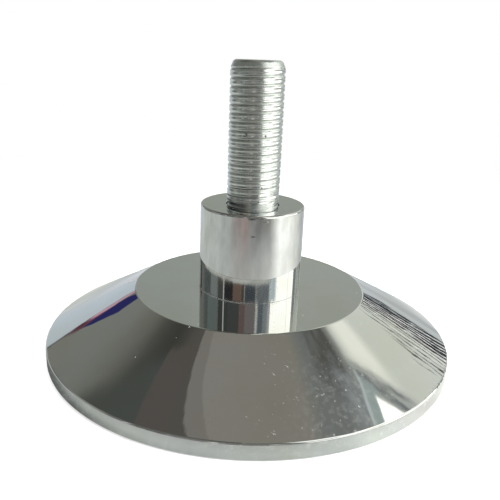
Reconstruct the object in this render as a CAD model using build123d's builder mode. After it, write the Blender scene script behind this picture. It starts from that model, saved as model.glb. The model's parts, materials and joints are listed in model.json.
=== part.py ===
"""Screw-in levelling foot for a pool table leg.

A chromed conical base stands on the floor. A smooth chromed collar sits on its flat shoulder, and a
zinc-plated stud runs up through both and into the table leg. Z is up, the floor is Z = 0 and the
stud's axis is the Z axis. All sizes are in millimetres.
"""

import os
from math import atan2, cos, tan

from build123d import *

# Outside of the base
base_diameter = 100.0
base_height = 15.2
rim_height = 3.65
shoulder_diameter = 57.0
rim_edge_radius = 0.5
rim_foot_chamfer = 0.4
shoulder_edge_radius = 0.6

# Hollow underside of the base
bearing_width = 5.0
flank_wall = 4.0
shoulder_wall = 4.0
boss_diameter = 27.0
boss_lift = 1.0
rib_count = 4
rib_first_angle = 45
rib_thickness = 4.0
rib_lift = 2.5

# Collar
collar_diameter = 25.4
collar_height = 21.2
collar_top_radius = 0.6
collar_seam_chamfer = 0.1

# Stud, drawn at the full diameter of its thread
stud_diameter = 12.7
stud_reach = 33.3
stud_tip_setback = 0.8
stud_tip_height = 1.9
stud_relief_width = 1.0
stud_relief_depth = 0.4
stud_foot_lift = 2.0
stud_foot_chamfer = 1.0

# Fits
thread_clearance = 0.1
bore_mouth_chamfer = 0.25

# Places that follow from the sizes above
base_radius = base_diameter / 2
shoulder_radius = shoulder_diameter / 2
stud_radius = stud_diameter / 2
bore_radius = stud_radius + thread_clearance
collar_top = base_height + collar_height
stud_top = collar_top + stud_reach

# The inner flank runs parallel to the outer one, one wall thickness below it
flank_angle = atan2(base_height - rim_height, base_radius - shoulder_radius)
flank_drop = flank_wall / cos(flank_angle)
hollow_radius = base_radius - bearing_width
hollow_roof = base_height - shoulder_wall
hollow_eaves = rim_height + bearing_width * tan(flank_angle) - flank_drop
roof_radius = base_radius - (hollow_roof + flank_drop - rim_height) / tan(flank_angle)

# Hollow of the underside: a low cone around the boss, parted into pockets by the ribs
with BuildPart() as hollow:
    with BuildSketch(Plane.XZ):
        with BuildLine():
            Polyline(
                (0, 0),
                (hollow_radius, 0),
                (hollow_radius, hollow_eaves),
                (roof_radius, hollow_roof),
                (boss_diameter / 2, hollow_roof),
                (boss_diameter / 2, boss_lift),
                (0, boss_lift),
                close=True,
            )
        make_face()
    revolve(axis=Axis.Z)
    with Locations((0, 0, rib_lift)):
        with PolarLocations(0, rib_count, start_angle=rib_first_angle):
            Box(
                base_radius,
                rib_thickness,
                base_height,
                align=(Align.MIN, Align.CENTER, Align.MIN),
                mode=Mode.SUBTRACT,
            )

# Conical base: a casting, turned and polished outside, with a tapped boss for the stud
with BuildPart() as conical_base:
    with BuildSketch(Plane.XZ):
        with BuildLine():
            Polyline(
                (0, 0),
                (base_radius, 0),
                (base_radius, rim_height),
                (shoulder_radius, base_height),
                (0, base_height),
                close=True,
            )
        make_face()
    revolve(axis=Axis.Z)
    rim_foot, rim_edge, shoulder_edge = conical_base.edges().filter_by(GeomType.CIRCLE).sort_by(Axis.Z)
    fillet(shoulder_edge, shoulder_edge_radius)
    fillet(rim_edge, rim_edge_radius)
    chamfer(rim_foot, rim_foot_chamfer)
    add(hollow.part, mode=Mode.SUBTRACT)
    Hole(bore_radius)
conical_base.part.label = "conical_base"

# Collar: a plain turned sleeve, seated on the base's shoulder
with BuildPart() as collar:
    with BuildSketch(Plane.XY.offset(base_height)):
        Circle(collar_diameter / 2)
        Circle(bore_radius, mode=Mode.SUBTRACT)
    extrude(amount=collar_height)
    foot_edges = collar.edges().group_by(Axis.Z)[0].sort_by(SortBy.RADIUS)
    top_edges = collar.edges().group_by(Axis.Z)[-1].sort_by(SortBy.RADIUS)
    fillet(top_edges[-1], collar_top_radius)
    chamfer(top_edges[0], bore_mouth_chamfer)
    chamfer(foot_edges[-1], collar_seam_chamfer)
collar.part.label = "collar"

# Threaded stud: relieved where the thread ends at the collar, with a tapered lead at its tip
with BuildPart() as threaded_stud:
    with BuildSketch(Plane.XZ):
        with BuildLine():
            Polyline(
                (0, stud_foot_lift),
                (stud_radius - stud_foot_chamfer, stud_foot_lift),
                (stud_radius, stud_foot_lift + stud_foot_chamfer),
                (stud_radius, collar_top),
                (stud_radius - stud_relief_depth, collar_top),
                (stud_radius - stud_relief_depth, collar_top + stud_relief_width),
                (stud_radius, collar_top + stud_relief_width),
                (stud_radius, stud_top - stud_tip_height),
                (stud_radius - stud_tip_setback, stud_top),
                (0, stud_top),
                close=True,
            )
        make_face()
    revolve(axis=Axis.Z)
threaded_stud.part.label = "threaded_stud"

os.makedirs("parts", exist_ok=True)
export_step(conical_base.part, "parts/conical_base.step")
export_step(collar.part, "parts/collar.step")
export_step(threaded_stud.part, "parts/threaded_stud.step")
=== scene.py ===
"""Looks of a screw-in levelling foot for a pool table leg: a mirror-chromed conical base and collar, and
a zinc-plated threaded stud, on a white floor with plain cards round it for the chrome to reflect.
"""

import json
import math

import bmesh
import bpy
from mathutils import Euler, Matrix, Vector


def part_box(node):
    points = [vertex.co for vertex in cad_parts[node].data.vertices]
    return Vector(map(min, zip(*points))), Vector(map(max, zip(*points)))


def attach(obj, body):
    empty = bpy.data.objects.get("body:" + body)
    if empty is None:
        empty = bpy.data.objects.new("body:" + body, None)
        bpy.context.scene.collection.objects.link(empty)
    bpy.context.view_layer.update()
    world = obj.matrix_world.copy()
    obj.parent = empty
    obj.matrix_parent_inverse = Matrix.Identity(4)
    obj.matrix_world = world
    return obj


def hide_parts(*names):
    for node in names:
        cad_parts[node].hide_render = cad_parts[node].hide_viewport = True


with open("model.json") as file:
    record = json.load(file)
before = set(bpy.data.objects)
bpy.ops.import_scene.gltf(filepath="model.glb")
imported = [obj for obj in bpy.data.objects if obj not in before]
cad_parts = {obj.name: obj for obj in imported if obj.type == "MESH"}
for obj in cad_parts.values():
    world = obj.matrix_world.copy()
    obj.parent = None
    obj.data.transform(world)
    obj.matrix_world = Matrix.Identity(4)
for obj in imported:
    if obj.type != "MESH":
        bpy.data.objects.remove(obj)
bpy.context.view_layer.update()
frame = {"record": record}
MM = 0.001

# Sizes of the foot that the frame gives
BASE_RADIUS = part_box("conical_base")[1].x
BASE_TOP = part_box("conical_base")[1].z
COLLAR_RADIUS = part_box("collar")[1].x
COLLAR_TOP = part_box("collar")[1].z
STUD_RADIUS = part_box("threaded_stud")[1].x
STUD_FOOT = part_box("threaded_stud")[0].z
STUD_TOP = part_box("threaded_stud")[1].z
RECORD_COLOURS = {row["slot"]: row["base_color"][:3] for row in frame["record"]["materials"]}

# Base
RIM_HEIGHT = 3.65 * MM
SHOULDER_RADIUS = 28.5 * MM
FLANK_SLOPE = (BASE_TOP - RIM_HEIGHT) / (BASE_RADIUS - SHOULDER_RADIUS)
RIM_EDGE_SETBACK = 0.35 * MM
RIM_FOOT_SETBACK = 0.4 * MM
SHOULDER_EDGE_SETBACK = 0.25 * MM
BEARING_WIDTH = 5.0 * MM
FLANK_DROP = 4.0 * MM * math.hypot(1.0, FLANK_SLOPE)
HOLLOW_ROOF = BASE_TOP - 4.0 * MM
BOSS_RADIUS = 13.5 * MM
BOSS_LIFT = 1.0 * MM
BORE_RADIUS = STUD_RADIUS + 0.1 * MM
RIB_COUNT = 4
RIB_FIRST_ANGLE = math.radians(45)
RIB_THICKNESS = 4.0 * MM
RIB_LIFT = 2.5 * MM
RIB_SINK = 0.4 * MM
CAST_SOFTNESS = 0.5 * MM

# Collar
COLLAR_TOP_SETBACK = 0.55 * MM
COLLAR_SEAM_SETBACK = 0.06 * MM
BORE_MOUTH_SETBACK = 0.25 * MM
# Nicks in front: place across and below the top edge, half length and half height, in millimetres
COLLAR_NICKS = (
    (0.2, 0.75, 1.3, 0.30), (2.4, 0.55, 1.5, 0.22), (3.4, 1.35, 0.9, 0.28), (0.6, 4.8, 0.8, 0.26)
)

# Stud and its thread
PITCH = 25.4 / 13 * MM
THREAD_DEPTH = 0.28 * MM
CREST_SHARE = 0.56
ROOT_SHARE = 0.10
CREST_SEAM_SHARE = 0.30
CREST_SEAM_DEPTH = 0.08 * MM
THREAD_SOFTNESS = 0.10 * MM
TIP_SETBACK = 0.8 * MM
TIP_HEIGHT = 1.9 * MM
TIP_ROUNDING = 0.6 * MM
TIP_CUTS = (0.08, 0.25, 0.5, 0.75, 1.0)
FOOT_CHAMFER = 1.0 * MM
FOOT_SOFTNESS = 0.2 * MM
SHANK_SOFTNESS = 0.1 * MM
RELIEF_WIDTH = 1.0 * MM
RELIEF_DEPTH = 0.4 * MM
RUNOUT_HEIGHT = 6.0 * MM
RUNOUT_DEPTH_SHARE = 0.25

# Polish of the chrome: its marks, and the heights of its slow ripple and fine orange peel
CHROME_MARKS = {"Speck Size": 0.10, "Ripple Scale": 70.0, "Cloud Scale": 45.0}
BASE_RIPPLE = 0.010 * MM
BASE_PEEL = 0.0006 * MM
COLLAR_RIPPLE = 0.004 * MM
COLLAR_PEEL = 0.00015 * MM

# Fineness of the meshes
TURNED_STEPS = 288
THREAD_STEPS = 128
CORNER_SEGMENTS = 6
SOFT_SEGMENTS = 3
HARD_EDGE_ANGLE = math.radians(38)
WELD = 0.001 * MM

# Camera, as the photograph was taken: close, slightly above the collar and rolled a little
CAMERA_PLACE = (-0.2 * MM, -141.3 * MM, 70.6 * MM)
CAMERA_PITCH_DOWN = math.radians(18.13)
CAMERA_ROLL = math.radians(2.29)
CAMERA_LENS = 42.8

# Floor, surround and lamps
FLOOR_HALF_SIZE = 8.0
FLOOR_GAP = 0.03 * MM
SURROUND_FILL = 0.55
LAMP_TARGET = Vector((0.0, 0.0, 0.02))

# Cards on the dome, with their angles in degrees
DOME_RADIUS = 4.5
CARD_GAP = 15 * MM
CARD_STEP = 3
CARD_WAVES = 9.0
CARD_WAVER = 4.0
FRONT_WAVER = 0.3
FRONT_GREY_SHARE = 0.85
WINDOW_BAR_LEVEL = 33.0
SLAT_SPACING = 1.5
# Arches of the front cards: elevation straight in front, and sag for each square degree to either side
SEAM_ARCH = (23.3, 0.00007)
SHEET_ARCH = (21.48, 0.000115)

# Mat under the foot that only mirrors see
MAT_RADIUS = 4.6
MAT_LIFT = 0.02 * MM
MAT_STRENGTH = 3.0


class Graph:
    """Adds nodes to one node tree and wires them as they are made."""

    def __init__(self, tree):
        self.tree = tree

    def put(self, socket, value):
        if isinstance(value, bpy.types.NodeSocket):
            self.tree.links.new(value, socket)
        else:
            socket.default_value = value

    def node(self, kind, inputs=None, **settings):
        made = self.tree.nodes.new(kind)
        for name, value in settings.items():
            setattr(made, name, value)
        for key, value in (inputs or {}).items():
            self.put(made.inputs[key], value)
        return made

    def math(self, operation, *values):
        return self.node("ShaderNodeMath", dict(enumerate(values)), operation=operation).outputs[0]

    def ramp(self, value, low, high, to_low=0.0, to_high=1.0):
        inputs = {"Value": value, "From Min": low, "From Max": high, "To Min": to_low, "To Max": to_high}
        return self.node("ShaderNodeMapRange", inputs, interpolation_type="SMOOTHSTEP").outputs["Result"]

    def band(self, value, centre, half_width):
        """1 at centre, falling to 0 at half_width to either side."""
        away = self.math("ABSOLUTE", self.math("SUBTRACT", value, centre))
        return self.ramp(away, 0.0, half_width, 1.0, 0.0)

    def noise(self, vector, scale, detail=2.0, roughness=0.5):
        inputs = {"Vector": vector, "Scale": scale, "Detail": detail, "Roughness": roughness}
        return self.node("ShaderNodeTexNoise", inputs).outputs["Fac"]

    def scattered_points(self, vector, scale, channel):
        """Distance from the nearest of some scattered points, and that point's own chance value."""
        cells = self.node("ShaderNodeTexVoronoi", {"Vector": vector, "Scale": scale}).outputs
        chance = self.node("ShaderNodeSeparateColor", {"Color": cells["Color"]}).outputs[channel]
        return cells["Distance"], chance

    def mix_colour(self, factor, first, second):
        inputs = {0: factor, 6: first, 7: second}
        return self.node("ShaderNodeMix", inputs, data_type="RGBA").outputs[2]

    def split(self, vector):
        return self.node("ShaderNodeSeparateXYZ", {"Vector": vector}).outputs

    def join(self, x, y, z=0.0):
        return self.node("ShaderNodeCombineXYZ", {"X": x, "Y": y, "Z": z}).outputs["Vector"]

    def length(self, vector):
        return self.node("ShaderNodeVectorMath", {0: vector}, operation="LENGTH").outputs["Value"]

    def link(self, source, target):
        self.tree.links.new(source, target)


def rgba(colour, share=1.0):
    """A share of a colour, with full alpha."""
    return (*(share * value for value in colour), 1.0)


def new_material(name):
    """A material with its graph, its Principled shader and the point on the piece that it shades."""
    material = bpy.data.materials.new(name)
    material.use_nodes = True
    graph = Graph(material.node_tree)
    point = graph.node("ShaderNodeTexCoord").outputs["Object"]
    return material, graph, material.node_tree.nodes["Principled BSDF"], point


def new_group(name, inputs, outputs):
    """A shader node group that takes a Vector and some values, with its graph, inputs and outputs."""
    group = bpy.data.node_groups.new(name, "ShaderNodeTree")
    group.interface.new_socket("Vector", in_out="INPUT", socket_type="NodeSocketVector")
    for side, names in (("INPUT", inputs), ("OUTPUT", outputs)):
        for socket in names:
            group.interface.new_socket(socket, in_out=side, socket_type="NodeSocketFloat")
    graph = Graph(group)
    given = graph.node("NodeGroupInput").outputs
    result = graph.node("NodeGroupOutput").inputs
    return group, graph, given, result


def height_and_radius(graph, point):
    """A point's height above the floor and its distance from the foot's axis."""
    parts = graph.split(point)
    return parts["Z"], graph.length(graph.join(parts["X"], parts["Y"]))


def mesh_object(name, bm, materials):
    """Turns a finished bmesh into an object with these materials."""
    mesh = bpy.data.meshes.new(name)
    bm.to_mesh(mesh)
    bm.free()
    for material in materials:
        mesh.materials.append(material)
    obj = bpy.data.objects.new(name, mesh)
    bpy.context.scene.collection.objects.link(obj)
    return obj


def profile_loop(bm, corners):
    """A closed loop of edges in the XZ plane through corners of (radius, height, setback of rounding)."""
    verts = [bm.verts.new((radius, 0.0, height)) for radius, height, _ in corners]
    for start, end in zip(verts, verts[1:] + verts[:1]):
        bm.edges.new((start, end))
    for vert, (_, _, setback) in zip(verts, corners):
        if setback:
            round_off(bm, [vert], setback, CORNER_SEGMENTS, "VERTICES")


def round_off(bm, geom, setback, segments, affect):
    """Rounds the corners of a profile or the edges of a solid."""
    bmesh.ops.bevel(
        bm, geom=geom, offset=setback, segments=segments, profile=0.5, affect=affect, material=-1
    )


def turn_profile(bm, steps):
    """Spins all of the profile once round Z into a closed skin with its faces outwards."""
    whole = bm.verts[:] + bm.edges[:]
    bmesh.ops.spin(bm, geom=whole, axis=(0, 0, 1), angle=math.tau, steps=steps, use_merge=True)
    bmesh.ops.remove_doubles(bm, verts=bm.verts[:], dist=WELD)
    bmesh.ops.recalc_face_normals(bm, faces=bm.faces[:])


def finish_piece(name, bm, materials, node):
    """Smooths a piece except at its hard edges, and puts it in the place of a CAD node."""
    for face in bm.faces:
        face.smooth = True
    for edge in bm.edges:
        edge.smooth = not (edge.is_manifold and edge.calc_face_angle() > HARD_EDGE_ANGLE)
    piece = mesh_object(name, bm, materials)
    modifier = piece.modifiers.new("even_normals", "WEIGHTED_NORMAL")
    modifier.weight = 100
    modifier.keep_sharp = True
    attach(piece, "root")
    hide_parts(node)


def polish_wear_group():
    """Marks on polished plating: faint clouding, sparse specks, fine orange peel and a slow ripple."""
    group, graph, given, result = new_group(
        "polish_wear", ("Speck Size", "Ripple Scale", "Cloud Scale"), ("Cloud", "Specks", "Ripple", "Peel")
    )

    cloud = graph.noise(given["Vector"], given["Cloud Scale"], detail=5.0, roughness=0.6)
    graph.link(graph.ramp(cloud, 0.35, 0.7), result["Cloud"])

    distance, picked = graph.scattered_points(given["Vector"], 480.0, "Red")
    near = graph.math("LESS_THAN", distance, given["Speck Size"])
    patch = graph.ramp(graph.noise(given["Vector"], 60.0, detail=1.0), 0.40, 0.62, 0.97, 0.78)
    graph.link(graph.math("MULTIPLY", near, graph.math("GREATER_THAN", picked, patch)), result["Specks"])

    graph.link(graph.noise(given["Vector"], given["Ripple Scale"], detail=1.0), result["Ripple"])
    graph.link(graph.noise(given["Vector"], 1400.0, detail=2.0), result["Peel"])
    return group


def chrome_material(name, colour, wear, ripple_height, peel_height, piece_marks):
    """Mirror chrome. piece_marks(graph, point) gives dark pits, and pale marks: dust, and on the collar a
    painted highlight.
    """
    material, graph, shader, point = new_material(name)
    marks = graph.node("ShaderNodeGroup", {"Vector": point, **CHROME_MARKS}, node_tree=wear).outputs
    pits, pale = piece_marks(graph, point)
    pale_marks = graph.math("MAXIMUM", graph.math("MULTIPLY", marks["Specks"], 0.18), pale)
    clouded = [share * value for share, value in zip((0.945, 0.945, 0.868), colour)]
    clean = graph.mix_colour(marks["Cloud"], rgba(colour), rgba(clouded))
    # Pale marks turn the chrome a dull pale grey: dust and specks, and on the collar a painted highlight
    pale_marked = graph.mix_colour(pale_marks, clean, rgba((0.70, 0.71, 0.68)))
    graph.link(graph.mix_colour(pits, pale_marked, rgba(colour, 0.12)), shader.inputs["Base Color"])
    graph.link(graph.math("SUBTRACT", 1.0, pale_marks), shader.inputs["Metallic"])
    polish = graph.ramp(marks["Cloud"], 0.0, 1.0, 0.02, 0.05)
    worn = graph.math("MULTIPLY", graph.math("MAXIMUM", pale_marks, pits), 0.45)
    graph.link(graph.math("MAXIMUM", polish, worn), shader.inputs["Roughness"])
    ripple = graph.node("ShaderNodeBump", {"Height": marks["Ripple"], "Distance": ripple_height})
    peel = graph.node("ShaderNodeBump", {"Height": marks["Peel"], "Distance": peel_height})
    graph.link(ripple.outputs["Normal"], peel.inputs["Normal"])
    graph.link(peel.outputs["Normal"], shader.inputs["Normal"])
    return material


def rim_chips(graph, point):
    """Small chips in a few stretches of the rim's upper edge."""
    height, radius = height_and_radius(graph, point)
    edge = graph.band(height, RIM_HEIGHT, 0.45 * MM)
    outside = graph.math("GREATER_THAN", radius, BASE_RADIUS - 0.8 * MM)
    stretch = graph.ramp(graph.noise(point, 28.0, detail=0.0), 0.56, 0.64)
    chips = graph.ramp(graph.noise(point, 1500.0, detail=1.0), 0.56, 0.62)
    where = graph.math("MULTIPLY", graph.math("MULTIPLY", edge, outside), stretch)
    return graph.math("MULTIPLY", where, chips)


def wiping_lines(graph, point):
    """Faint straight lines, in patches, where the foot was wiped."""
    inputs = {"Vector": point, "Rotation": (0.0, 0.0, 0.6)}
    turned = graph.split(graph.node("ShaderNodeMapping", inputs).outputs["Vector"])
    across = graph.join(graph.math("MULTIPLY", turned["X"], 0.04), turned["Y"], turned["Z"])
    lines = graph.ramp(graph.noise(across, 2600.0, detail=2.0), 0.68, 0.80, 0.0, 0.25)
    patch = graph.ramp(graph.noise(point, 35.0, detail=1.0), 0.50, 0.62)
    return graph.math("MULTIPLY", lines, patch)


def dusty_patch(graph, point):
    """A film of dust with fine grit on the right of the flank's front."""
    place = graph.split(point)
    right = graph.band(place["X"], 20 * MM, 15 * MM)
    front = graph.ramp(place["Y"], -36 * MM, -26 * MM, 1.0, 0.0)
    film = graph.ramp(graph.noise(point, 900.0, detail=4.0), 0.45, 0.75, 0.0, 0.06)
    distance, picked = graph.scattered_points(point, 1000.0, "Blue")
    grit = graph.math("MULTIPLY", graph.math("LESS_THAN", distance, 0.22), 0.2)
    grit = graph.math("MULTIPLY", grit, graph.math("GREATER_THAN", picked, 0.80))
    return graph.math("MULTIPLY", graph.math("MULTIPLY", right, front), graph.math("MAXIMUM", film, grit))


def rim_grain(graph, point):
    """A faint grain on the rim's upright face."""
    _, radius = height_and_radius(graph, point)
    on_rim = graph.math("GREATER_THAN", radius, BASE_RADIUS - 0.05 * MM)
    grain = graph.ramp(graph.noise(point, 1100.0, detail=3.0), 0.45, 0.75, 0.0, 0.16)
    return graph.math("MULTIPLY", on_rim, grain)


def base_marks(graph, point):
    """The base's chips, and its wiping lines, dusty patch and rim grain as pale dust."""
    pale_marks = graph.math("MAXIMUM", dusty_patch(graph, point), rim_grain(graph, point))
    pale = graph.math("MAXIMUM", wiping_lines(graph, point), pale_marks)
    return rim_chips(graph, point), pale


def collar_marks_and_highlight(graph, point):
    """A painted highlight and a few pits along the collar's foot, and small nicks in its front."""
    height, _ = height_and_radius(graph, point)
    # Painted highlight: a pale line along the seam at the collar's foot, strongest on the left and gone
    # towards the right
    seam_highlight = graph.band(height, BASE_TOP, 0.30 * MM)
    highlight_share = graph.ramp(graph.split(point)["X"], -8 * MM, 5 * MM, 0.8, 0.0)
    foot_pits = graph.math(
        "MULTIPLY",
        graph.band(height, BASE_TOP + 0.2 * MM, 0.7 * MM),
        graph.ramp(graph.noise(point, 420.0, detail=1.0), 0.66, 0.71),
    )
    unevenness = graph.math("MULTIPLY", graph.noise(point, 900.0), 0.4 * MM)
    across = graph.math("ADD", graph.split(point)["X"], unevenness)
    in_front = graph.math("LESS_THAN", graph.split(point)["Y"], 0.0)
    pits = foot_pits
    for middle, drop, half_length, half_height in COLLAR_NICKS:
        nick = graph.math(
            "MULTIPLY",
            graph.band(across, middle * MM, half_length * MM),
            graph.band(height, COLLAR_TOP - drop * MM, half_height * MM),
        )
        pits = graph.math("MAXIMUM", pits, graph.math("MULTIPLY", nick, in_front))
    return pits, graph.math("MULTIPLY", seam_highlight, highlight_share)


def cast_material(name, colour):
    """Dull plating over the rough casting of the underside."""
    material, graph, shader, point = new_material(name)
    grain = graph.noise(point, 900.0, detail=6.0, roughness=0.65)
    stain = graph.ramp(graph.noise(point, 60.0, detail=4.0), 0.3, 0.7)
    stained = graph.mix_colour(stain, rgba(colour, 0.45), rgba(colour, 0.8))
    graph.link(stained, shader.inputs["Base Color"])
    graph.link(graph.ramp(grain, 0.3, 0.7, 0.42, 0.62), shader.inputs["Roughness"])
    bump = graph.node("ShaderNodeBump", {"Height": grain, "Distance": 0.12 * MM, "Strength": 0.8})
    graph.link(bump.outputs["Normal"], shader.inputs["Normal"])
    shader.inputs["Metallic"].default_value = 1.0
    return material


def zinc_material(name, colour):
    """Bright zinc on a rolled thread: satin, rougher with a little painted shade in the roots, dark
    pinholes, and painted shade on the relief's left.
    """
    material, graph, shader, point = new_material(name)
    height, radius = height_and_radius(graph, point)
    root = graph.ramp(radius, STUD_RADIUS - THREAD_DEPTH, STUD_RADIUS - 0.3 * THREAD_DEPTH, 1.0, 0.0)
    haze = graph.noise(point, 650.0, detail=5.0, roughness=0.6)
    distance, picked = graph.scattered_points(point, 360.0, "Green")
    hole = graph.ramp(distance, 0.06, 0.13, 0.8, 0.0)
    holes = graph.math("MULTIPLY", hole, graph.math("GREATER_THAN", picked, 0.82))
    hazy = graph.mix_colour(graph.ramp(haze, 0.3, 0.7), rgba(colour, 1.04), rgba(colour, 0.88))
    # Painted shade: the roots a little darker
    root_shaded = graph.mix_colour(graph.math("MULTIPLY", root, 0.08), hazy, rgba(colour, 0.45))
    # Painted shade: near black on the left of the relief at the collar, fading up the lowest turns of the
    # thread on that side
    relief = graph.ramp(height, COLLAR_TOP + RELIEF_WIDTH - 0.1 * MM, COLLAR_TOP + RELIEF_WIDTH, 1.0, 0.0)
    runout = graph.ramp(height, COLLAR_TOP, COLLAR_TOP + RUNOUT_HEIGHT, 0.3, 0.0)
    shade_rise = graph.ramp(height, COLLAR_TOP + 0.1 * MM, COLLAR_TOP + 0.4 * MM, 0.35, 1.0)
    left = graph.ramp(graph.split(point)["X"], -5.5 * MM, 1.0 * MM, 0.95, 0.0)
    spread = graph.math("MAXIMUM", graph.math("MULTIPLY", relief, shade_rise), runout)
    left_foot_shade = graph.math("MULTIPLY", spread, left)
    foot_shaded = graph.mix_colour(left_foot_shade, root_shaded, rgba((0.02, 0.022, 0.03)))
    graph.link(graph.mix_colour(holes, foot_shaded, rgba((0.03, 0.03, 0.03))), shader.inputs["Base Color"])
    satin = graph.ramp(haze, 0.3, 0.7, 0.15, 0.27)
    graph.link(graph.math("ADD", satin, graph.math("MULTIPLY", root, 0.1)), shader.inputs["Roughness"])
    bump = graph.node("ShaderNodeBump", {"Height": haze, "Distance": 0.03 * MM, "Strength": 0.6})
    graph.link(bump.outputs["Normal"], shader.inputs["Normal"])
    shader.inputs["Metallic"].default_value = 1.0
    return material


def inner_flank_height(radius):
    """Height of the hollow's sloping roof, one wall below the flank."""
    return RIM_HEIGHT + (BASE_RADIUS - radius) * FLANK_SLOPE - FLANK_DROP


def inner_flank_radius(height):
    """Distance from the axis at which that roof has this height."""
    return BASE_RADIUS - (height + FLANK_DROP - RIM_HEIGHT) / FLANK_SLOPE


def add_ribs(bm):
    """The ribs of the underside, from the boss to the inner flank, their ends sunk a little into both."""
    base_faces = set(bm.faces)
    outline = (
        (BOSS_RADIUS - RIB_SINK, RIB_LIFT),
        (inner_flank_radius(RIB_LIFT) + RIB_SINK, RIB_LIFT),
        (inner_flank_radius(HOLLOW_ROOF) + RIB_SINK, HOLLOW_ROOF + RIB_SINK),
        (BOSS_RADIUS - RIB_SINK, HOLLOW_ROOF + RIB_SINK),
    )
    corners = [bm.verts.new((radius, -RIB_THICKNESS / 2, height)) for radius, height in outline]
    side = bm.faces.new(corners)
    grown = bmesh.ops.extrude_face_region(bm, geom=[side])["geom"]
    far_corners = [item for item in grown if isinstance(item, bmesh.types.BMVert)]
    bmesh.ops.translate(bm, verts=far_corners, vec=(0, RIB_THICKNESS, 0))
    low_corners = {vert for vert in corners + far_corners if vert.co.z < RIB_LIFT + WELD}
    long_edges = [
        edge
        for edge in {edge for vert in low_corners for edge in vert.link_edges}
        if low_corners.issuperset(edge.verts) and abs(edge.verts[0].co.x - edge.verts[1].co.x) > WELD
    ]
    round_off(bm, long_edges, CAST_SOFTNESS, SOFT_SEGMENTS, "EDGES")
    faces = [face for face in bm.faces if face not in base_faces]
    bmesh.ops.recalc_face_normals(bm, faces=faces)
    verts = list({vert for face in faces for vert in face.verts})
    edges = list({edge for face in faces for edge in face.edges})
    bmesh.ops.rotate(bm, verts=verts, matrix=Matrix.Rotation(RIB_FIRST_ANGLE, 3, "Z"))
    bmesh.ops.spin(
        bm,
        geom=verts + edges + faces,
        axis=(0, 0, 1),
        angle=math.tau * (RIB_COUNT - 1) / RIB_COUNT,
        steps=RIB_COUNT - 1,
        use_duplicate=True,
    )


def make_base(chrome, underside):
    """The conical base, turned in one profile with its hollow underside, and its ribs."""
    hollow_radius = BASE_RADIUS - BEARING_WIDTH
    bm = bmesh.new()
    profile_loop(bm, (
        (BORE_RADIUS, BASE_TOP, 0.0),
        (SHOULDER_RADIUS, BASE_TOP, SHOULDER_EDGE_SETBACK),
        (BASE_RADIUS, RIM_HEIGHT, RIM_EDGE_SETBACK),
        (BASE_RADIUS, 0.0, RIM_FOOT_SETBACK),
        (hollow_radius, 0.0, CAST_SOFTNESS),
        (hollow_radius, inner_flank_height(hollow_radius), CAST_SOFTNESS),
        (inner_flank_radius(HOLLOW_ROOF), HOLLOW_ROOF, CAST_SOFTNESS),
        (BOSS_RADIUS, HOLLOW_ROOF, CAST_SOFTNESS),
        (BOSS_RADIUS, BOSS_LIFT, CAST_SOFTNESS),
        (BORE_RADIUS, BOSS_LIFT, CAST_SOFTNESS),
    ))
    turn_profile(bm, TURNED_STEPS)
    add_ribs(bm)
    for face in bm.faces:
        centre = face.calc_center_median()
        on_rim = centre.xy.length > BASE_RADIUS - RIM_FOOT_SETBACK and centre.z > WELD
        face.material_index = 0 if on_rim or face.normal.z > 0.05 else 1
    finish_piece("polished_base", bm, [chrome, underside], "conical_base")


def make_collar(chrome):
    """The plain round collar on the base's shoulder."""
    bm = bmesh.new()
    profile_loop(bm, (
        (BORE_RADIUS, BASE_TOP, 0.0),
        (COLLAR_RADIUS, BASE_TOP, COLLAR_SEAM_SETBACK),
        (COLLAR_RADIUS, COLLAR_TOP, COLLAR_TOP_SETBACK),
        (BORE_RADIUS, COLLAR_TOP, BORE_MOUTH_SETBACK),
    ))
    turn_profile(bm, TURNED_STEPS)
    finish_piece("polished_collar", bm, [chrome], "collar")


def tip_depth(height):
    """How far the stud's tapered tip with its rounded end keeps inside the stud's full radius."""
    taper = TIP_SETBACK * (height - STUD_TOP + TIP_HEIGHT) / TIP_HEIGHT
    over = max(height - STUD_TOP + TIP_ROUNDING, 0.0)
    return taper + TIP_ROUNDING - math.sqrt(max(TIP_ROUNDING**2 - over**2, 0.0))


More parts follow.
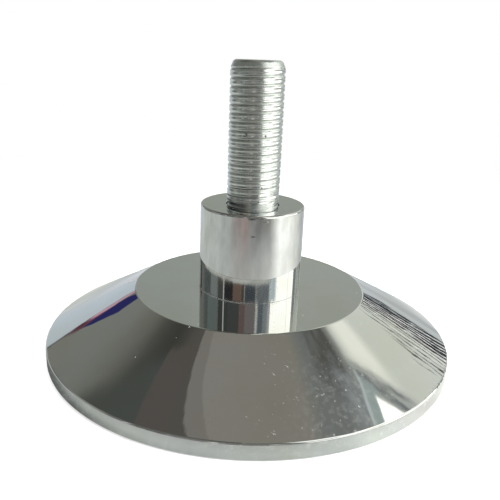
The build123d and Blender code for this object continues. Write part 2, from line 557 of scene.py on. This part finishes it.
def add_thread(bm):
    """The thread above the collar, spun as a screw from a toothed profile and trimmed to length. Each tooth
    has the shallow seam between two lips that rolling leaves along its crest.
    """
    thread_foot = COLLAR_TOP + RELIEF_WIDTH
    half_crest, half_root, half_seam = (
        share * PITCH / 2 for share in (CREST_SHARE, ROOT_SHARE, CREST_SEAM_SHARE)
    )
    turns = math.ceil((STUD_TOP - thread_foot) / PITCH) + 3
    verts = []
    for turn in range(turns):
        crest = thread_foot + (turn - 1.5) * PITCH
        for offset, depth in (
            (-half_crest, 0.0),
            (-half_seam, 0.0),
            (0.0, CREST_SEAM_DEPTH),
            (half_seam, 0.0),
            (half_crest, 0.0),
            (PITCH / 2 - half_root, THREAD_DEPTH),
            (PITCH / 2 + half_root, THREAD_DEPTH),
        ):
            verts.append(bm.verts.new((STUD_RADIUS - depth, 0.0, crest + offset)))
    for start, end in zip(verts, verts[1:]):
        bm.edges.new((start, end))
    round_off(bm, verts[1:-1], THREAD_SOFTNESS, SOFT_SEGMENTS, "VERTICES")
    rise = (0, 0, PITCH / THREAD_STEPS)
    whole = bm.verts[:] + bm.edges[:]
    bmesh.ops.spin(bm, geom=whole, axis=(0, 0, 1), dvec=rise, angle=math.tau, steps=THREAD_STEPS)
    bmesh.ops.remove_doubles(bm, verts=bm.verts[:], dist=WELD)
    tip_start = STUD_TOP - TIP_HEIGHT
    cuts = [(thread_foot, True, False), (STUD_TOP, False, True), (tip_start, False, False)]
    cuts += [(STUD_TOP - share * TIP_ROUNDING, False, False) for share in TIP_CUTS]
    for height, below, above in cuts:
        whole = bm.verts[:] + bm.edges[:] + bm.faces[:]
        bmesh.ops.bisect_plane(
            bm,
            geom=whole,
            dist=WELD,
            plane_co=(0, 0, height),
            plane_no=(0, 0, 1),
            clear_inner=below,
            clear_outer=above,
        )
    for vert in bm.verts:
        depth = STUD_RADIUS - vert.co.xy.length
        up = min(max((vert.co.z - thread_foot) / RUNOUT_HEIGHT, 0.0), 1.0)
        depth *= RUNOUT_DEPTH_SHARE + (1.0 - RUNOUT_DEPTH_SHARE) * up
        depth = max(depth, tip_depth(vert.co.z))
        vert.co.xy = vert.co.xy.normalized() * (STUD_RADIUS - depth)
    open_edges = [edge for edge in bm.edges if edge.is_boundary]
    bmesh.ops.holes_fill(bm, edges=open_edges, sides=0)
    bmesh.ops.recalc_face_normals(bm, faces=bm.faces[:])


def make_stud(zinc):
    """The stud: its plain shank through the collar and base, the relief at the collar, and the thread."""
    bm = bmesh.new()
    add_thread(bm)
    shank_top = COLLAR_TOP + RELIEF_WIDTH + PITCH / 4
    shank = bmesh.new()
    profile_loop(shank, (
        (0.0, STUD_FOOT, 0.0),
        (STUD_RADIUS - FOOT_CHAMFER, STUD_FOOT, SHANK_SOFTNESS),
        (STUD_RADIUS, STUD_FOOT + FOOT_CHAMFER, FOOT_SOFTNESS),
        (STUD_RADIUS, COLLAR_TOP - RELIEF_DEPTH, SHANK_SOFTNESS),
        (STUD_RADIUS - RELIEF_DEPTH, COLLAR_TOP, SHANK_SOFTNESS),
        (STUD_RADIUS - RELIEF_DEPTH, shank_top, 0.0),
        (0.0, shank_top, 0.0),
    ))
    turn_profile(shank, THREAD_STEPS)
    carrier = bpy.data.meshes.new("shank")
    shank.to_mesh(carrier)
    shank.free()
    bm.from_mesh(carrier)
    bpy.data.meshes.remove(carrier)
    finish_piece("rolled_stud", bm, [zinc], "threaded_stud")


def seen_by_eye_or_mirror(graph):
    """1 for rays from the camera or from a mirror or glass, 0 for the rays that carry soft light."""
    path = graph.node("ShaderNodeLightPath").outputs
    shiny = graph.math("MAXIMUM", path["Is Glossy Ray"], path["Is Transmission Ray"])
    return graph.math("MAXIMUM", path["Is Camera Ray"], shiny)


def make_world(fill):
    """White all round to the eye and to the chrome, and an even fill for everything else."""
    world = bpy.data.worlds.new("white_studio")
    world.use_nodes = True
    bpy.context.scene.world = world
    graph = Graph(world.node_tree)
    soft = graph.node("ShaderNodeBackground", {"Color": rgba((1, 1, 1)), "Strength": fill})
    white = graph.node("ShaderNodeBackground", {"Color": rgba((1, 1, 1)), "Strength": 1.0})
    inputs = {0: seen_by_eye_or_mirror(graph), 1: soft.outputs[0], 2: white.outputs[0]}
    mixed = graph.node("ShaderNodeMixShader", inputs)
    graph.link(mixed.outputs[0], world.node_tree.nodes["World Output"].inputs["Surface"])


def stage_material(name):
    """An empty material with its graph, its surface socket and the point that it shades."""
    material, graph, shader, point = new_material(name)
    material.node_tree.nodes.remove(shader)
    return material, graph, material.node_tree.nodes["Material Output"].inputs["Surface"], point


def make_floor():
    """A white floor that takes the foot's shadow, fades into the surround and is clear from below."""
    material, graph, surface, point = stage_material("white_floor")
    share = graph.ramp(graph.length(point), 2 * BASE_RADIUS, 6 * BASE_RADIUS, 0.45, 1.0)
    factor = graph.math("MULTIPLY", seen_by_eye_or_mirror(graph), share)
    paint = graph.node("ShaderNodeBsdfDiffuse", {"Color": rgba((0.9, 0.9, 0.9))})
    white = graph.node("ShaderNodeEmission", {"Color": rgba((1, 1, 1)), "Strength": 1.0})
    mixed = graph.node("ShaderNodeMixShader", {0: factor, 1: paint.outputs[0], 2: white.outputs[0]})
    below = graph.node("ShaderNodeNewGeometry").outputs["Backfacing"]
    clear = graph.node("ShaderNodeBsdfTransparent")
    one_sided = graph.node("ShaderNodeMixShader", {0: below, 1: mixed.outputs[0], 2: clear.outputs[0]})
    graph.link(one_sided.outputs[0], surface)
    bm = bmesh.new()
    bmesh.ops.create_grid(bm, x_segments=1, y_segments=1, size=FLOOR_HALF_SIZE)
    bmesh.ops.translate(bm, vec=(0, 0, -FLOOR_GAP), verts=bm.verts[:])
    mesh_object("floor", bm, [material])


def stage_card(card):
    """A card that only mirrors see: it neither lights the floor nor hides the foot from the camera."""
    card.visible_camera = False
    card.visible_diffuse = False
    card.visible_shadow = False


def dome_angles_group():
    """Azimuth from behind the foot towards its right, and elevation, both in degrees, about a turned
    middle. Both waver a little, along the same waves for every card, so that no card has a ruled edge.
    """
    group, graph, given, result = new_group("dome_angles", ("Turn", "Waver"), ("Azimuth", "Elevation"))
    inputs = {"Vector": given["Vector"], "Angle": given["Turn"]}
    turned = graph.node("ShaderNodeVectorRotate", inputs, rotation_type="Z_AXIS").outputs["Vector"]
    height, away = height_and_radius(graph, turned)
    parts = graph.split(turned)
    azimuth = graph.math("ARCTAN2", parts["X"], parts["Y"])
    elevation = graph.math("ARCTAN2", height, away)
    inputs = {"Vector": given["Vector"], "Scale": CARD_WAVES / DOME_RADIUS, "Detail": 4.0, "Roughness": 0.6}
    waver = graph.split(graph.node("ShaderNodeTexNoise", inputs).outputs["Color"])
    for angle, shift, name in ((azimuth, waver["X"], "Azimuth"), (elevation, waver["Y"], "Elevation")):
        offset = graph.math("MULTIPLY", graph.math("SUBTRACT", shift, 0.5), given["Waver"])
        graph.link(graph.math("ADD", graph.math("DEGREES", angle), offset), result[name])
    return group


class CardDome:
    """Soft-edged cards on a dome round the foot, each nearer than the one made before it."""

    def __init__(self):
        self.angles = dome_angles_group()
        self.radius = DOME_RADIUS

    def sheet(self, name, azimuths, elevations, material):
        """The card itself: an arc of the dome from foot to head, swept from left to right."""
        self.radius -= CARD_GAP
        low, high = (math.radians(value) for value in elevations)
        left, right = (math.radians(value) for value in azimuths)
        bm = bmesh.new()
        foot = bm.verts.new((0.0, self.radius * math.cos(low), self.radius * math.sin(low)))
        steps = max(2, round(math.degrees(high - low) / CARD_STEP))
        bmesh.ops.spin(bm, geom=[foot], axis=(1, 0, 0), angle=high - low, steps=steps)
        bmesh.ops.rotate(bm, verts=bm.verts[:], matrix=Matrix.Rotation(-left, 3, "Z"))
        steps = max(2, round(math.degrees(right - left) / CARD_STEP))
        whole = bm.verts[:] + bm.edges[:]
        bmesh.ops.spin(bm, geom=whole, axis=(0, 0, 1), angle=left - right, steps=steps)
        stage_card(mesh_object(name, bm, [material]))

    def card(self, name, azimuths, elevations, colour, soft, pattern=None, waver=CARD_WAVER, once=None):
        """A card between two azimuths and two elevations in degrees. Its sides, foot and head fade out over
        the degrees in soft. pattern(graph, azimuth, elevation), with azimuth from its middle, masks it
        further. once is its colour where a single mirror shows it, if that differs.
        """
        material, graph, surface, point = stage_material(name)
        inputs = {"Vector": point, "Turn": math.radians(sum(azimuths) / 2), "Waver": waver}
        angles = graph.node("ShaderNodeGroup", inputs, node_tree=self.angles).outputs
        half_width = (azimuths[1] - azimuths[0]) / 2
        low, high = elevations
        side_soft, foot_soft, head_soft = soft
        aside = graph.math("ABSOLUTE", angles["Azimuth"])
        side = graph.ramp(aside, half_width - side_soft, half_width, 1.0, 0.0)
        foot = graph.ramp(angles["Elevation"], low, low + foot_soft)
        head = graph.ramp(angles["Elevation"], high - head_soft, high, 1.0, 0.0)
        mask = graph.math("MULTIPLY", side, graph.math("MULTIPLY", foot, head))
        if pattern:
            mask = graph.math("MULTIPLY", mask, pattern(graph, angles["Azimuth"], angles["Elevation"]))
        tone = rgba(colour)
        if once:
            mirrors = graph.node("ShaderNodeLightPath").outputs["Ray Depth"]
            tone = graph.mix_colour(graph.ramp(mirrors, 1.0, 2.0), rgba(once), tone)
        glow = graph.node("ShaderNodeEmission", {"Color": tone, "Strength": 1.0})
        clear = graph.node("ShaderNodeBsdfTransparent")
        mixed = graph.node("ShaderNodeMixShader", {0: mask, 1: clear.outputs[0], 2: glow.outputs[0]})
        graph.link(mixed.outputs[0], surface)
        self.sheet(name, azimuths, elevations, material)

    def front_bar(self, name, azimuths, colour, side_soft, above):
        """An upright bar in front of the foot, above or below the seam's arch. The stud, which shows it in
        a single mirror, has it in plain grey.
        """
        level = SEAM_ARCH[0]
        elevations = (level - 4, level + 4.5) if above else (-2, level + 1)
        pattern = arched(azimuths, SEAM_ARCH, above)
        grey = FRONT_GREY_SHARE * sum(colour) / 3
        soft = (side_soft, 0.5, 0.5)
        self.card(name, azimuths, elevations, colour, soft, pattern, FRONT_WAVER, once=(grey, grey, grey))


def arched(azimuths, arch, above):
    """A pattern that keeps the part of a card above or below an arch whose crown is straight in front."""
    level, sag = arch
    ends = (0.0, 1.0) if above else (1.0, 0.0)

    def pattern(graph, azimuth, elevation):
        aside = graph.math("ADD", azimuth, sum(azimuths) / 2 - 180)
        drop = graph.math("MULTIPLY", graph.math("MULTIPLY", aside, aside), sag)
        return graph.ramp(graph.math("ADD", elevation, drop), level - 0.05, level + 0.05, *ends)
    return pattern


def slanted_head(level):
    """A pattern that cuts a card off at this elevation, along a line that sinks from left to right."""
    def pattern(graph, azimuth, elevation):
        sink = graph.math("MULTIPLY", azimuth, 0.15)
        return graph.ramp(graph.math("ADD", elevation, sink), level - 0.4, level + 0.4, 1.0, 0.0)
    return pattern


def mottled(least):
    """A pattern of soft blotches that thins a card down to its least share."""
    def pattern(graph, azimuth, elevation):
        place = graph.join(azimuth, graph.math("MULTIPLY", elevation, 1.6))
        return graph.ramp(graph.noise(place, 0.22, detail=5.0, roughness=0.65), 0.38, 0.62, least, 1.0)
    return pattern


def streaked(least):
    """A pattern of upright strands that thins a card down to its least share."""
    def pattern(graph, azimuth, elevation):
        place = graph.join(azimuth, graph.math("MULTIPLY", elevation, 0.2))
        return graph.ramp(graph.noise(place, 0.7, detail=4.0, roughness=0.6), 0.38, 0.60, least, 1.0)
    return pattern


def window_bars(place):
    """A pattern that dims a window along a level bar, and an upright at this azimuth from its middle."""
    def pattern(graph, azimuth, elevation):
        from_upright = graph.math("ABSOLUTE", graph.math("SUBTRACT", azimuth, place))
        from_level = graph.math("ABSOLUTE", graph.math("SUBTRACT", elevation, WINDOW_BAR_LEVEL))
        pane = graph.math("MULTIPLY", graph.ramp(from_upright, 0.4, 0.9), graph.ramp(from_level, 0.6, 1.2))
        return graph.ramp(pane, 0.0, 1.0, 0.35, 1.0)
    return pattern


def slanted_band(low, high):
    """A pattern that keeps a card between two lines that climb to the right, from these elevations at
    its middle.
    """
    def pattern(graph, azimuth, elevation):
        line = graph.math("SUBTRACT", elevation, graph.math("MULTIPLY", azimuth, 0.25))
        foot = graph.ramp(line, low, low + 0.5)
        head = graph.ramp(line, high - 0.5, high, 1.0, 0.0)
        return graph.math("MULTIPLY", foot, head)
    return pattern


def wavy_lines(phase, share, crowding=0.0):
    """A pattern of thin uneven lines, this share of their spacing wide, that slant down to the right.
    crowding widens the lower lines and thins the upper ones.
    """
    def pattern(graph, azimuth, elevation):
        across = graph.math("ADD", elevation, azimuth)
        along = graph.math("SUBTRACT", elevation, azimuth)
        stretched = graph.math("MULTIPLY", along, 0.20)
        place = graph.join(stretched, graph.math("MULTIPLY", across, 0.25), phase)
        wander = graph.math("MULTIPLY", graph.noise(place, 1.0, detail=5.0, roughness=0.6), 5.0)
        turns = graph.math("DIVIDE", graph.math("ADD", across, wander), SLAT_SPACING)
        wave = graph.math("PINGPONG", graph.math("ADD", turns, phase), 1.0)
        broken = graph.math("MULTIPLY", graph.noise(place, 2.5, detail=5.0, roughness=0.7), 0.6)
        thinned = graph.ramp(across, 12.0, 19.0, -crowding, crowding)
        line = graph.math("ADD", graph.math("ADD", wave, broken), thinned)
        return graph.ramp(line, share + 0.22, share + 0.34, 1.0, 0.0)
    return pattern


def overhead_cards(dome):
    """The ceiling, and what is darker below it."""
    dome.card("ceiling_card", (-190, 190), (60, 90.2), (0.345, 0.331, 0.299), soft=(1, 2, 0.1))
    dome.card("upper_right_card", (0, 180), (46, 72), (0.26, 0.275, 0.27), soft=(4, 6, 6))
    dome.card(
        "dark_beam_right", (20, 75), (49, 67), (0.14, 0.14, 0.135), soft=(10, 6, 6), pattern=mottled(0.45)
    )
    dome.card(
        "ceiling_edge_card", (-180, 0), (20, 85), (0.285, 0.272, 0.245), soft=(2, 2, 1),
        pattern=slanted_head(78.5),
    )
    dome.card(
        "upper_left_card", (-180, 0), (20, 80), (0.13, 0.125, 0.11), soft=(2, 2, 1),
        pattern=slanted_head(73.8),
    )
    dome.card("dark_beam_left", (-90, -30), (42, 68), (0.072, 0.072, 0.067), soft=(20, 10, 10))


def left_cards(dome):
    """A grey wall on the left, shaded towards its head, and lighter low down towards the back."""
    dome.card("left_wall_card", (-114, -23), (-2, 60), (0.28, 0.29, 0.265), soft=(2, 0.5, 32))
    dome.card("left_corner_card", (-110, -60), (34, 64), (0.10, 0.11, 0.10), soft=(8, 8, 5))
    dome.card("left_beam_card", (-104, -61), (58.8, 71), (0.135, 0.123, 0.113), soft=(3, 0.9, 3))
    dome.card("left_shade_card", (-90, -50), (15, 32), (0.20, 0.215, 0.21), soft=(12, 5, 8))
    dome.card("left_low_card", (-52, -23), (-2, 14.5), (0.69, 0.78, 0.86), soft=(2, 0.5, 1))


def back_cards(dome):
    """Even greys behind the foot."""
    dome.card("back_card", (-24, 20), (11, 50), (0.49, 0.52, 0.48), soft=(3, 4, 4))
    dome.card("back_left_card", (-26, 4), (11, 50), (0.42, 0.455, 0.42), soft=(14, 4, 4))
    dome.card("back_low_card", (-24, 20), (-2, 18), (0.40, 0.43, 0.39), soft=(3, 0.5, 2))


def right_cards(dome):
    """A pale wall with dark slats, and a bright window with its frame."""
    window_white, blind_white = (3.0, 3.0, 2.94), (1.35, 1.35, 1.323)
    dome.card("right_light_card", (20, 68), (12, 55), (0.96, 1.0, 0.94), soft=(3, 3, 9))
    dome.card("right_low_card", (20, 68), (-2, 13), (0.72, 0.77, 0.79), soft=(3, 0.5, 3))
    dome.card("light_band_card", (42, 64), (36, 52), (1.35, 1.38, 1.30), soft=(8, 6, 7))
    dome.card("right_post_card", (52, 67), (3, 27), (0.45, 0.50, 0.52), soft=(4, 3, 4))
    dome.card(
        "window_frame_card", (58.6, 67), (34, 56), (0.28, 0.30, 0.32), soft=(2.6, 6, 8),
        pattern=streaked(0.5),
    )
    dome.card(
        "window_card", (65.5, 131), (-2, 48), window_white, soft=(0.9, 0.5, 0.8), pattern=window_bars(-14)
    )
    dome.card(
        "window_blind_card", (66.5, 118), (13, 40), window_white, soft=(3, 4, 4), pattern=window_bars(-8),
        once=blind_white,
    )
    dome.card(
        "window_head_card", (63, 96), (47.6, 60), (0.44, 0.48, 0.49), soft=(3, 0.8, 6), pattern=mottled(0.5)
    )
    dome.card(
        "window_shade_card", (62, 82), (46, 54), (0.48, 0.57, 0.565), soft=(2, 0.6, 0.6),
        pattern=slanted_band(44, 52.4), waver=2.5,
    )
    dome.card(
        "pale_line_card", (60, 76), (48, 54), (0.68, 0.76, 0.765), soft=(4, 0.5, 0.5),
        pattern=slanted_band(50.7, 52.1), waver=2.5,
    )
    dome.card(
        "window_corner_card", (65.0, 76), (38, 54), (2.4, 2.4, 2.35), soft=(1.0, 4, 0.5),
        pattern=slanted_band(36, 49.4), waver=1.5,
    )
    dome.card(
        "slats_card", (26, 50), (3, 25), (0.05, 0.05, 0.06), soft=(2, 1, 3),
        pattern=wavy_lines(0.0, 0.50, crowding=0.24),
    )
    dome.card(
        "slat_gaps_card", (30, 46), (4, 20), (1.8, 1.8, 1.8), soft=(2, 2, 3), pattern=wavy_lines(1.0, 0.12)
    )


def coloured_cards(dome):
    """Small dark and coloured strips low on the left."""
    dome.card("navy_card", (-41.2, -34), (16, 23.3), (0.035, 0.035, 0.16), soft=(0.8, 0.6, 1.0))
    dome.card("maroon_card", (-42.5, -36.5), (13.6, 17.2), (0.15, 0.055, 0.08), soft=(2, 0.3, 1.5))
    dome.card("black_line_card", (-50, -39.5), (13.4, 14.5), (0.05, 0.05, 0.05), soft=(2, 0.3, 0.4))
    dome.card("pink_card", (-39.5, -29.5), (13.9, 16.2), (0.80, 0.44, 0.56), soft=(1.5, 0.6, 1.0))
    dome.card("slate_strip_card", (-102, -92), (10, 27), (0.42, 0.45, 0.47), soft=(3, 3, 3))


def front_cards(dome):
    """Upright bars in front of the foot, below and above an arched seam, and the lights beside them."""
    low_bars = (
        ("pale_blue", (114, 140), (1.05, 1.20, 1.28), 9),
        ("slate", (132, 168), (0.31, 0.34, 0.375), 6),
        ("navy", (163, 192), (0.115, 0.14, 0.165), 5),
        ("black", (215, 240), (0.055, 0.055, 0.056), 3),
        ("brown", (194, 219), (0.30, 0.21, 0.17), 5),
        ("pale_edge", (188, 192.5), (0.42, 0.43, 0.42), 1.5),
        ("dark", (237, 255), (0.14, 0.145, 0.14), 2),
        ("grey", (254, 280), (0.39, 0.43, 0.43), 6),
        ("dark_left", (277, 304), (0.17, 0.20, 0.20), 8),
    )
    high_bars = (
        ("slate", (131, 162), (0.44, 0.50, 0.54), 10),
        ("blue", (145, 162), (0.24, 0.28, 0.33), 5),
        ("grey_front", (163, 192), (0.34, 0.31, 0.32), 4),
        ("dark_grey", (200, 230), (0.12, 0.13, 0.125), 3),
        ("red_brown", (187, 203), (0.28, 0.20, 0.19), 3),
        ("dark", (226, 255), (0.10, 0.11, 0.105), 3),
        ("grey", (254, 296), (0.26, 0.31, 0.305), 6),
        ("dark_left", (284, 304), (0.17, 0.21, 0.205), 8),
    )
    for level, above, bars in (("low", False, low_bars), ("high", True, high_bars)):
        for bar, azimuths, colour, side_soft in bars:
            dome.front_bar(f"{bar}_{level}_card", azimuths, colour, side_soft, above)
    dome.card("white_gap_card", (-123, -118.8), (4, 44), (0.9, 0.9, 0.9), soft=(1.2, 3, 3), waver=1.5)
    sheet_span = (131, 303)
    dome.card(
        "front_sheet_card", sheet_span, (18.6, 22.5), (1.05, 1.07, 1.04), soft=(4, 0.3, 0.5),
        pattern=arched(sheet_span, SHEET_ARCH, False), waver=FRONT_WAVER,
    )
    dome.card("front_upper_card", (125, 250), (26.8, 60), (0.21, 0.22, 0.205), soft=(12, 0.8, 6))
    for level, elevations in (("low", (-2, 17.8)), ("high", (29, 62))):
        dome.card(
            f"stud_light_{level}_card", (106, 152), elevations, (1.7, 1.73, 1.68), soft=(5, 0.5, 0.8),
            waver=1.0,
        )


def make_cards():
    """Plain cards for the chrome to mirror, from the farthest to the nearest."""
    dome = CardDome()
    for add_cards in (overhead_cards, left_cards, back_cards, right_cards, coloured_cards, front_cards):
        add_cards(dome)


def azimuth_tones(graph, turn, stops):
    """Shares of the mat's strength through (azimuth in degrees, tone, tint) stops, the first at -180."""
    ramp = graph.node("ShaderNodeValToRGB", {"Fac": turn})
    ramp.color_ramp.interpolation = "EASE"
    elements = ramp.color_ramp.elements
    for element in elements:
        element.color = rgba(stops[0][2], stops[0][1] / MAT_STRENGTH)
    for azimuth, tone, tint in stops[1:]:
        elements.new((azimuth + 180) / 360).color = rgba(tint, tone / MAT_STRENGTH)
    return ramp.outputs["Color"]


def make_mirror_mat():
    """The floor as the chrome sees it: shaded in front and under the rim's left, and lit from the right."""
    plain, warm, rosy = (1, 1.015, 0.98), (1.10, 0.97, 0.92), (1.18, 0.95, 0.88)
    green, sage = (0.98, 1.03, 0.99), (0.965, 1.025, 0.995)
    blue, sky = (0.95, 1.0, 1.03), (0.97, 1.03, 1.09)
    material, graph, surface, point = stage_material("mirror_mat")
    parts = graph.split(point)
    azimuth = graph.math("ARCTAN2", parts["X"], parts["Y"])
    turn = graph.math("DIVIDE", graph.math("ADD", azimuth, math.pi), math.tau)
    rim_right = (
        (0, 0.60, blue), (100, 1.0, plain), (124, 1.05, plain), (134, 1.22, plain), (147, 1.35, sage),
        (158, 0.92, sage),
    )
    under_rim = azimuth_tones(graph, turn, (
        (-180, 0.76, sage), (-163, 0.66, sage), (-151, 0.53, sage), (-145, 0.39, sage), (-139, 0.27, sage),
        (-133, 0.17, sage), (-120, 0.16, sage), (-80, 0.26, sage), *rim_right,
    ))
    at_rim = azimuth_tones(graph, turn, (
        (-180, 0.80, sage), (-154, 0.75, sage), (-139, 0.63, sage), (-132, 0.46, sage), (-112, 0.26, sage),
        (-80, 0.30, plain), *rim_right,
    ))
    near = azimuth_tones(graph, turn, (
        (-180, 0.60, plain), (-152, 0.61, plain), (-130, 0.64, green), (-115, 0.70, green),
        (-60, 0.68, green), (-20, 0.62, blue), (20, 0.62, blue), (45, 0.70, blue), (70, 1.10, plain),
        (90, 1.40, plain), (113, 1.65, plain), (142, 0.85, plain),
    ))
    far = azimuth_tones(graph, turn, (
        (-180, 0.35, plain), (-167, 0.39, rosy), (-153, 0.41, warm), (-130, 0.55, green),
        (-115, 0.68, green), (-65, 0.70, green), (-48, 0.77, sky), (-28, 0.77, sky), (0, 0.62, blue),
        (45, 0.70, blue), (70, 1.10, plain), (90, 1.45, plain), (113, 1.78, plain), (146, 0.38, plain),
        (165, 0.30, plain),
    ))
    beside = azimuth_tones(graph, turn, (
        (-180, 0.18, plain), (-130, 0.20, green), (-80, 0.27, plain), (-50, 0.77, sky), (-20, 0.77, sky),
        (0, 0.62, blue), (45, 0.62, blue), (84, 0.60, plain), (100, 0.64, plain), (113, 2.20, plain),
        (139, 3.00, plain), (148, 2.70, plain), (156, 0.18, plain),
    ))
    away = graph.length(point)
    tone = under_rim
    # Each zone takes over from the one inside it between two distances, in radii of the base
    zones = ((1.005, 1.055, at_rim), (1.02, 1.17, near), (1.2, 2.8, far), (2.95, 3.3, beside))
    for start, end, zone in zones:
        tone = graph.mix_colour(graph.ramp(away, start * BASE_RADIUS, end * BASE_RADIUS), tone, zone)
    way = graph.node("ShaderNodeVectorMath", {0: point}, operation="NORMALIZE").outputs["Vector"]
    streaks = graph.ramp(
        graph.noise(way, 3.5, detail=2.0), 0.3, 0.7, 0.95 * MAT_STRENGTH, 1.05 * MAT_STRENGTH
    )
    clouds = graph.ramp(graph.noise(point, 26.0, detail=4.0, roughness=0.55), 0.3, 0.7, 0.90, 1.10)
    strength = graph.math("MULTIPLY", streaks, clouds)
    glow = graph.node("ShaderNodeEmission", {"Color": tone, "Strength": strength})
    graph.link(glow.outputs[0], surface)
    bm = bmesh.new()
    bmesh.ops.create_circle(bm, cap_ends=True, segments=64, radius=MAT_RADIUS)
    bmesh.ops.translate(bm, vec=(0, 0, MAT_LIFT), verts=bm.verts[:])
    stage_card(mesh_object("mirror_mat", bm, [material]))


def area_lamp(name, place, size, energy):
    """A soft lamp that points at the foot and is not itself mirrored in it."""
    light = bpy.data.lights.new(name, "AREA")
    light.shape = "DISK"
    light.size = size
    light.energy = energy
    lamp = bpy.data.objects.new(name, light)
    bpy.context.scene.collection.objects.link(lamp)
    lamp.location = place
    aim = LAMP_TARGET - Vector(place)
    lamp.rotation_euler = aim.to_track_quat("-Z", "Y").to_euler()
    lamp.visible_glossy = False


def make_camera():
    """The camera at the photograph's viewpoint."""
    camera = bpy.data.objects.new("camera", bpy.data.cameras.new("camera"))
    bpy.context.scene.collection.objects.link(camera)
    camera.data.lens = CAMERA_LENS
    camera.data.sensor_width = 36.0
    camera.data.clip_start = 5 * MM
    camera.location = CAMERA_PLACE
    turn = Euler((math.pi / 2 - CAMERA_PITCH_DOWN, 0.0, CAMERA_ROLL), "ZYX")
    camera.rotation_mode = "QUATERNION"
    camera.rotation_quaternion = turn.to_quaternion()
    bpy.context.scene.camera = camera


def main():
    """Makes the three pieces of the foot, and then the stage round them."""
    wear = polish_wear_group()
    base_colour, collar_colour = RECORD_COLOURS["chrome_base"], RECORD_COLOURS["chrome_collar"]
    base_chrome = chrome_material("chrome_base", base_colour, wear, BASE_RIPPLE, BASE_PEEL, base_marks)
    collar_chrome = chrome_material(
        "chrome_collar", collar_colour, wear, COLLAR_RIPPLE, COLLAR_PEEL, collar_marks_and_highlight
    )
    make_base(base_chrome, cast_material("cast_underside", base_colour))
    make_collar(collar_chrome)
    make_stud(zinc_material("zinc_stud", RECORD_COLOURS["zinc_stud"]))
    make_world(SURROUND_FILL)
    make_floor()
    make_mirror_mat()
    make_cards()
    area_lamp("key_lamp", (0.45, -0.15, 0.50), size=0.35, energy=7.0)
    area_lamp("top_lamp", (-0.10, 0.10, 0.80), size=0.60, energy=8.0)
    make_camera()
    bpy.context.scene.view_settings.view_transform = "Standard"


main()
